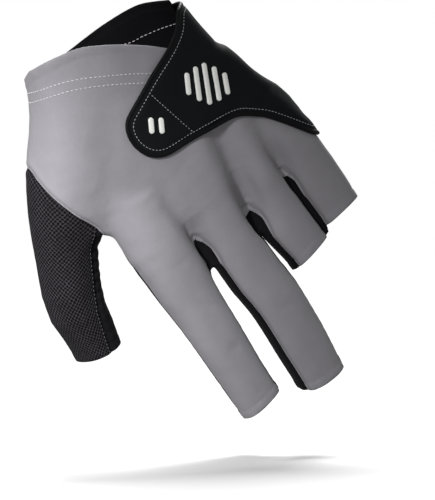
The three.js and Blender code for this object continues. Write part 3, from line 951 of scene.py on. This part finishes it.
clothPanel("back_panel", back, "lycra",
           lambda p: np.minimum(insideRim(p), pastBackCuff(p)))
clothPanel("palm_panel", palm, "palm",
           lambda p: np.minimum(insideRim(p), pastPalmCuff(p)))
clothPanel("thumb_mesh", mesh, "mesh", insideRim, pucker=0.12)
clothPanel("thumb_strip", inner, "microfibre", insideRim, pucker=0.6)
centres = points[middle].mean(axis=1)
gussetsFrom = 66
for name, low, high in (("gusset_index_middle", -30, -2), ("gusset_middle_ring", -2, 21),
                        ("gusset_ring_little", 21, 45)):
    here = (centres[:, 0] > low) & (centres[:, 0] < high) & (centres[:, 2] < -gussetsFrom)
    clothPanel(name, middle[here], "microfibre", insideRim)
print("cloth panels made")


def onSurface(rows, level=0.0):
    # points over the back of the hand for each across, along, found by a scan in depth
    rows = np.asarray(rows, float)
    scan = np.arange(-34, 14, 0.5)
    grid = np.stack([np.repeat(rows[:, 0], len(scan)), np.tile(scan, len(rows)),
                     -np.repeat(rows[:, 1], len(scan))], axis=1)
    values = (gloveField(grid) - level).reshape(len(rows), -1)
    p = np.stack([rows[:, 0], scan[np.argmax(values < 0, axis=1)], -rows[:, 1]], axis=1)
    for _ in range(4):
        slope = (gloveField(p + [0, 0.1, 0]) - gloveField(p - [0, 0.1, 0])) / 0.2
        slope = np.where(np.abs(slope) < 0.25, np.sign(slope) * 0.25 + 1e-6, slope)
        p[:, 1] -= np.clip((gloveField(p) - level) / slope, -1, 1)
    n = unit(gradientOf(gloveField, p))
    return p + n * (draped(p, n) if level else relief(p, n))[:, None], n


def ringAround(centre, side, up, width, height, count, power):
    angles = np.arange(count) / count * 2 * math.pi
    c, s = np.cos(angles), np.sin(angles)
    a = np.sign(c) * np.abs(c) ** (2 / power) * width
    b = np.sign(s) * np.abs(s) ** (2 / power) * height
    return centre + a[:, None] * side + b[:, None] * up


def ringFaces(size, count, closed=False):
    # faces between rings of points, with a cap at each end
    faces = []
    for i in range(size if closed else size - 1):
        j = (i + 1) % size
        for k in range(count):
            m = (k + 1) % count
            faces.append([i * count + k, i * count + m, j * count + m, j * count + k])
    if closed:
        return faces
    return faces + [list(range(count))[::-1], [(size - 1) * count + k for k in range(count)]]


def swept(path, up, width, height, count=10, closed=False, power=2.0):
    # a closed body with one section along a path, as points, faces and a place along and round
    ahead = np.roll(path, -1, axis=0) if closed else np.vstack([path[1:], 2 * path[-1:] - path[-2:-1]])
    before = np.roll(path, 1, axis=0) if closed else np.vstack([2 * path[:1] - path[1:2], path[:-1]])
    way = unit(ahead - before)
    up = unit(up - way * np.sum(up * way, axis=1, keepdims=True))
    side = np.cross(way, up)
    size = len(path)
    width = np.broadcast_to(width, size)
    height = np.broadcast_to(height, size)
    body = np.vstack([ringAround(path[i], side[i], up[i], width[i], height[i], count, power)
                      for i in range(size)])
    faces = [f[::-1] for f in ringFaces(size, count, closed)]
    lattice = np.stack([np.repeat(lengthsOf(path), count), np.tile(np.arange(count), size),
                        np.zeros(size * count)], axis=1)
    return body, faces, lattice


def resampled(path, gap, closed=False):
    if closed:
        path = np.vstack([path, path[:1]])
    length = lengthsOf(path)
    count = max(2, round(length[-1] / gap))
    even = np.linspace(0, length[-1], count + 1)
    return placesAt(even[:-1] if closed else even, length, path)


threads = {   # dash, pitch, radius, lift, finish, slot
    "cuff": (1.25, 1.85, 0.2, 0.12, "paleThread", "lycra"),
    "strap": (0.95, 1.5, 0.13, 0.06, "strapThread", "neoprene"),
    "thumb": (1.0, 1.7, 0.13, 0.06, "dimThread", "mesh"),
}
stitchArch = np.array([-0.9, -0.1, 0.6, 0.9, 0.6, -0.1, -0.9])   # how a stitch rises, as a share of its lift
stitchTaper = np.array([0.45, 0.9, 1, 1, 1, 0.9, 0.45])


def stitchRow(name, path, normals, kind):
    # one body for each stitch, sunk at both ends
    dash, pitch, radius, lift, finish, slotName = threads[kind]
    length = lengthsOf(path)
    random = np.random.default_rng(len(path))
    allPoints, allFaces, start = [], [], 0
    for middleAt in np.arange(pitch / 2, length[-1], pitch):
        at = middleAt + np.linspace(-0.5, 0.5, len(stitchArch)) * dash * random.uniform(0.9, 1.08)
        spots = placesAt(at, length, path)
        ups = unit(placesAt(at, length, normals))
        thick = radius * stitchTaper
        body, faces, _ = swept(spots + ups * (stitchArch * lift)[:, None], ups, thick, thick * 0.85, 7)
        allPoints.append(body)
        allFaces += [[v + start for v in f] for f in faces]
        start += len(body)
    whole = np.vstack(allPoints)
    makePiece(name, whole, allFaces, finishes[finish], None, {"cloth": whole})


def lineOn(tris, value, inside=False):
    # the longest line where a value passes zero on a sheet, and the way that the surface faces there
    p, t, side = splitAt(points, tris, value(points))
    ahead, behind = [{(a, b) for tri in t[side * way > 0].tolist() for a, b in zip(tri, tri[1:] + tri[:1])}
                     for way in (1, -1)]
    follow = {a: b for a, b in ahead if (b, a) in behind}
    chains = []
    for start in set(follow) - set(follow.values()):
        chain = [start]
        while chain[-1] in follow:
            chain.append(follow[chain[-1]])
        chains.append(chain)
    path = resampled(p[max(chains, key=len)], 0.8)
    path, n = settled(gloveField, path)
    path = path + n * (relief(path, n) - (cloth["thick"] if inside else 0))[:, None]
    return path, (-n if inside else n)


# The wrist strap: a shaped sheet over the glove, its tape, its threads and its raised bars.
# low, high, edgeHigh and tapeMiddle are heights over the glove; tapeIn and threadIn are in from the edge.
strap = {"low": 0.5, "high": 2.1, "edgeHigh": 1.5, "edgeWidth": 2.2, "edge": 0.1, "turn": 1.5,
         "tapeIn": 0.35, "tapeHalf": 0.95, "tapeHigh": 0.8, "tapeMiddle": 1.05,
         "tapeCorners": 16, "tapeBoxiness": 2.6, "tapeWave": (0.035, 9, 21),
         "threadIn": 2.5, "threadDip": 0.16, "threadWidth": 0.45, "threadSink": 0.24,
         "bulge": 1.2, "bulgeAlong": 30, "bulgeHalf": 11, "sag": 1.2, "sagAlong": 47, "sagHalf": 9,
         "outer": (24, 36), "foldShare": 0.35, "cross": ([-3.4, 24.6], [3.4, 47.6])}
strapNet = {"low": [-26, -30, -92], "high": [62, 24, 2], "voxel": 1.0}
strapLine = np.vstack([[[80, 3]], smoothCurve(strapEdge, 120), [[80, 92]]])
rootLine = np.array([[80, 3], [48, 4], [37, 4.8], [26, 7], [36, 77.6], [50, 80.6], [80, 92]], float)


def insideOutline(flat, line):
    # distance in from a closed outline, negative outside it
    after = np.roll(line, -1, axis=0)
    gap = np.full(len(flat), 1e9)
    crossings = np.zeros(len(flat), int)
    for a, b in zip(line, after):
        way = b - a
        t = np.clip((flat - a) @ way / max(way @ way, 1e-9), 0, 1)
        gap = np.minimum(gap, np.linalg.norm(flat - a - t[:, None] * way, axis=1))
        upward = (a[1] > flat[:, 1]) != (b[1] > flat[:, 1])
        with np.errstate(divide="ignore", invalid="ignore"):
            x = a[0] + (flat[:, 1] - a[1]) / (b[1] - a[1]) * way[0]
        crossings += upward & (flat[:, 0] < x)
    return np.where(crossings % 2 == 1, gap, -gap)


def insideStrap(p):
    flat = flatPlace(p)
    onBack = insideOutline(flat, strapLine)
    onPalm = insideOutline(flat, rootLine)
    share = smoothstep(p[:, 1] - curlDepth(-p[:, 2]), -strap["turn"], strap["turn"])
    return onBack * (1 - share) + onPalm * share


def looseness(p):
    # the strap runs straighter than the glove over the little finger's side
    bulge = strap["bulge"] * bell(-p[:, 2], strap["bulgeAlong"], strap["bulgeHalf"])
    sag = strap["sag"] * bell(-p[:, 2], strap["sagAlong"], strap["sagHalf"])
    return smoothstep(p[:, 0], *strap["outer"]) * (bulge - sag)


def draped(p, normals):
    return looseness(p) + foldHeight(p, normals) * strap["foldShare"]


def strapLoop(p, t, inset):
    # the closed line that lies inset from the strap's edge, in order
    p, t, side = splitAt(p, t, insideStrap(p) - inset)
    t = largestPart(p, t[side > 0])
    rim = rimEdges(t)
    follow = dict(zip(rim[:, 0].tolist(), rim[:, 1].tolist()))
    start = int(rim[0, 0])
    order = [start]
    while follow[order[-1]] != start:
        order.append(follow[order[-1]])
    return p[order]


def smoothLoop(path, rounds, gap):
    path = resampled(path, gap, closed=True)
    for _ in range(rounds):
        path = (np.roll(path, 1, axis=0) + 2 * path + np.roll(path, -1, axis=0)) / 4
    return path


netPoints, netTris = surfaceNet(gloveField, strapNet["low"], strapNet["high"], strapNet["voxel"],
                                strap["high"])
netPoints = settled(gloveField, netPoints, strap["high"], rounds=2)[0]


def makeStrap():
    p, t, side = splitAt(netPoints, netTris, insideStrap(netPoints) - strap["tapeIn"])
    p, t = compact(p, largestPart(p, t[side > 0]))
    p, n = settled(gloveField, p, strap["high"], rounds=1)
    edge = insideStrap(p)
    lift = unevenness(p, (0.1, 22, 11), (0.04, 7, 12))
    lift -= strap["threadDip"] * bell(edge, strap["threadIn"], strap["threadWidth"])
    lift -= (strap["high"] - strap["edgeHigh"]) * bell(edge, 0, strap["edgeWidth"])
    drape = draped(p, n)
    under = p + n * (drape - strap["high"] + strap["low"])[:, None]
    whole, faces, ring = wallOf(p + n * (lift + drape)[:, None], under, t, n, strap["edge"])
    makePiece("wrist_strap", whole, faces, finishes["neoprene"], "wrist_strap", {"cloth": whole})


def makeBinding():
    path = smoothLoop(strapLoop(netPoints, netTris, strap["tapeIn"]), 4, 1.1)
    path, up = settled(gloveField, path, strap["tapeMiddle"], rounds=3)
    wave = 1 + unevenness(path, strap["tapeWave"])
    whole, faces, lattice = swept(path, up, strap["tapeHalf"] * wave, strap["tapeHigh"] * wave,
                                  strap["tapeCorners"], True, strap["tapeBoxiness"])
    makePiece("strap_binding", whole, faces, finishes["binding"], "strap_binding",
              {"cloth": whole, "lattice": lattice})


def makeStrapThreads():
    path = smoothLoop(strapLoop(netPoints, netTris, strap["threadIn"]), 6, 0.8)
    path, up = settled(gloveField, path, strap["high"] - strap["threadSink"], rounds=2)
    path = path + up * looseness(path)[:, None]
    stitchRow("strap_edge_stitches", np.vstack([path, path[:1]]), np.vstack([up, up[:1]]), "strap")
    path, up = onSurface(np.linspace(*strap["cross"], 40), strap["high"])
    stitchRow("strap_cross_stitches", path, up, "strap")


makeStrap()
makeBinding()
makeStrapThreads()

bars = {
    "width": 2.3, "lean": 62, "height": 0.75, "corners": 20,
    # radius, height
    "dome": [(1.0, -0.5), (1.0, 0.25), (0.94, 0.62), (0.8, 0.86), (0.55, 0.97), (0.25, 1.0)],
    # name, across, along, length
    "rows": [["strap_bar_1", 12.6, 30.6, 9], ["strap_bar_2", 16.4, 33.2, 14], ["strap_bar_3", 20.2, 35.8, 17],
             ["strap_bar_4", 24, 38.4, 14], ["strap_bar_5", 27.8, 41, 9],
             ["tab_bar_1", -10.2, 34.6, 6.5], ["tab_bar_2", -6.6, 37.2, 6.5]],
}


def raisedBar(name, across, along, length):
    # a domed pill, from nested outlines
    lean = math.radians(bars["lean"])
    way = np.array([math.cos(lean), -math.sin(lean)])
    aside = np.array([-way[1], way[0]])
    half = (length - bars["width"]) / 2
    flat = []
    for share, _ in bars["dome"]:
        radius = bars["width"] / 2 * share
        for a in np.arange(bars["corners"]) / bars["corners"] * 2 * math.pi:
            end = half if math.cos(a) >= 0 else -half
            flat.append(way * (end + radius * math.cos(a)) + aside * radius * math.sin(a) + (across, along))
    p, n = onSurface(flat, strap["high"])
    heights = np.repeat([height * bars["height"] for _, height in bars["dome"]], bars["corners"])
    p = p + n * heights[:, None]
    makePiece(name, p, ringFaces(len(bars["dome"]), bars["corners"]), finishes["silicone"], name,
              {"cloth": p})


for row in bars["rows"]:
    raisedBar(*row)

hook = {"across": -9.5, "along": 37.5, "radius": 7.3, "low": 0.08, "high": 0.5, "corners": 28,
        "bevelIn": 0.5, "bevelDown": 0.1}


def makeHookPatch():
    angles = np.arange(hook["corners"]) / hook["corners"] * 2 * math.pi
    radii = (hook["radius"], hook["radius"], hook["radius"] - hook["bevelIn"], hook["radius"] / 2)
    heights = (hook["low"], hook["high"] - hook["bevelDown"], hook["high"], hook["high"])
    centre = np.array([hook["across"], hook["along"]])
    circle = np.stack([np.cos(angles), np.sin(angles)], axis=1)
    p, n = onSurface(np.vstack([centre + r * circle for r in radii]))
    p = p + n * np.repeat(heights, hook["corners"])[:, None]
    makePiece("hook_patch", p, ringFaces(len(radii), hook["corners"]), finishes["hook"], "hook_patch",
              {"cloth": p, "seam": np.full(len(p), 9.0)})


makeHookPatch()

# Threads on the glove itself
cuffStitches = {
    "upper": [[-37.5, -2.6], [-30.8, -0.8], [-24, 2.1], [-14.8, 7.3], [-5.3, 13.1], [4.5, 19.6]],
    "lower": [[-41, 0.4], [-35, 1.9], [-29.2, 3.9], [-22.2, 7.3], [-14.8, 11.5], [-7.3, 16.2], [1, 21.6]],
    "inner": [[10.5, 6.5], [15.6, 8.7], [20.9, 9.5], [26.1, 10.5], [31.9, 11.9], [36.4, 13.2]],
}
for label, rows in cuffStitches.items():
    inside = label == "inner"
    row = smoothCurve(rows, 90)
    path, up = lineOn(palm if inside else back, lambda p: -p[:, 2] - np.interp(p[:, 0], *row.T), inside)
    keep = path[:, 0] < row[-1, 0]
    if inside:
        keep &= path[:, 0] > row[0, 0]
    stitchRow("cuff_stitches_" + label, path[keep], up[keep], "cuff")
besideSeam = 1.2   # on one edge of the strip alone, so the other is moved out of reach
path, up = lineOn(mesh, lambda p: thumbOuter(p) - besideSeam + 20 * (tubeField(tubes["thumb"], p)[2] < 0))
stitchRow("thumb_seam_stitches", path, up, "thumb")
print("strap and stitches made")


# Camera, floor and light: the glove hangs in a pale studio, seen level with its middle
shot = {"distance": 1.5, "middle": (217.5, 250), "cuffPixel": (103, 44), "pixel": 0.0004, "lens": 270}
centreX = (shot["middle"][0] - shot["cuffPixel"][0]) * shot["pixel"]
centreZ = (shot["cuffPixel"][1] - shot["middle"][1]) * shot["pixel"]
lens = bpy.data.cameras.new("camera")
lens.lens = shot["lens"]
lens.sensor_width = 36
lens.clip_start = 0.01
camera = added("camera", lens)
camera.location = (centreX, -shot["distance"], centreZ)
camera.rotation_euler = (math.radians(90), 0, 0)
bpy.context.scene.camera = camera

studio = {"drop": 0.014, "reach": 30.0, "sky": (1, 1, 1, 1), "skyPower": 0.34}   # in metres
floorMesh = bpy.data.meshes.new("floor")
r = studio["reach"]
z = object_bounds()[0][2] - studio["drop"]
floorMesh.from_pydata([(-r, -r, z), (r, -r, z), (r, r, z), (-r, r, z)], [], [(0, 1, 2, 3)])
floor = added("floor", floorMesh)
f = Finish("pale_floor", {"Roughness": 0.8, "Specular IOR Level": 0.1})
cloudy = f.noise(f.node("ShaderNodeTexCoord", out=3), 3.0)   # in the floor's own coordinates
f.feed("Base Color", f.mixed(cloudy, shade(246, 246, 246), shade(250, 250, 250)))
floorMesh.materials.append(f.material)
floor.visible_diffuse = False   # a wide white floor would light the glove as much as the lamps do
floor.visible_glossy = False

world = bpy.data.worlds.new("studio")   # the sky is seen white and lights the glove softly
world.use_nodes = True
sky = world.node_tree.nodes["Background"]
sky.inputs["Color"].default_value = studio["sky"]
seen = world.node_tree.nodes.new("ShaderNodeLightPath")
power = world.node_tree.nodes.new("ShaderNodeMapRange")
power.inputs["To Min"].default_value = studio["skyPower"]
power.inputs["To Max"].default_value = 1.0
world.node_tree.links.new(seen.outputs["Is Camera Ray"], power.inputs["Value"])
world.node_tree.links.new(power.outputs["Result"], sky.inputs["Strength"])
bpy.context.scene.world = world
bpy.context.scene.view_settings.view_transform = "Standard"

# a lamp with a soft cone edge lights the hand up to the ring finger, and one behind lights the floor
lights = {
    "key": {"kind": "SPOT", "at": (-0.29, -0.63, 0.12), "aim": (-0.31, 0, -0.191), "energy": 47,
            "spot_size": math.radians(60.2), "spot_blend": 0.15, "shadow_soft_size": 0.08},
    "far": {"kind": "SUN", "at": (0.04, 0.74, 0.67), "aim": (0, 0, 0), "energy": 3.6,
            "angle": math.radians(20)},
}
for name, row in lights.items():
    lamp = bpy.data.lights.new(name, row["kind"])
    for label, value in row.items():
        if label not in ("kind", "at", "aim"):
            setattr(lamp, label, value)
    light = added(name, lamp)
    light.location = row["at"]
    light.rotation_euler = (Vector(row["aim"]) - Vector(row["at"])).to_track_quat("-Z", "Y").to_euler()

print("scene ready")
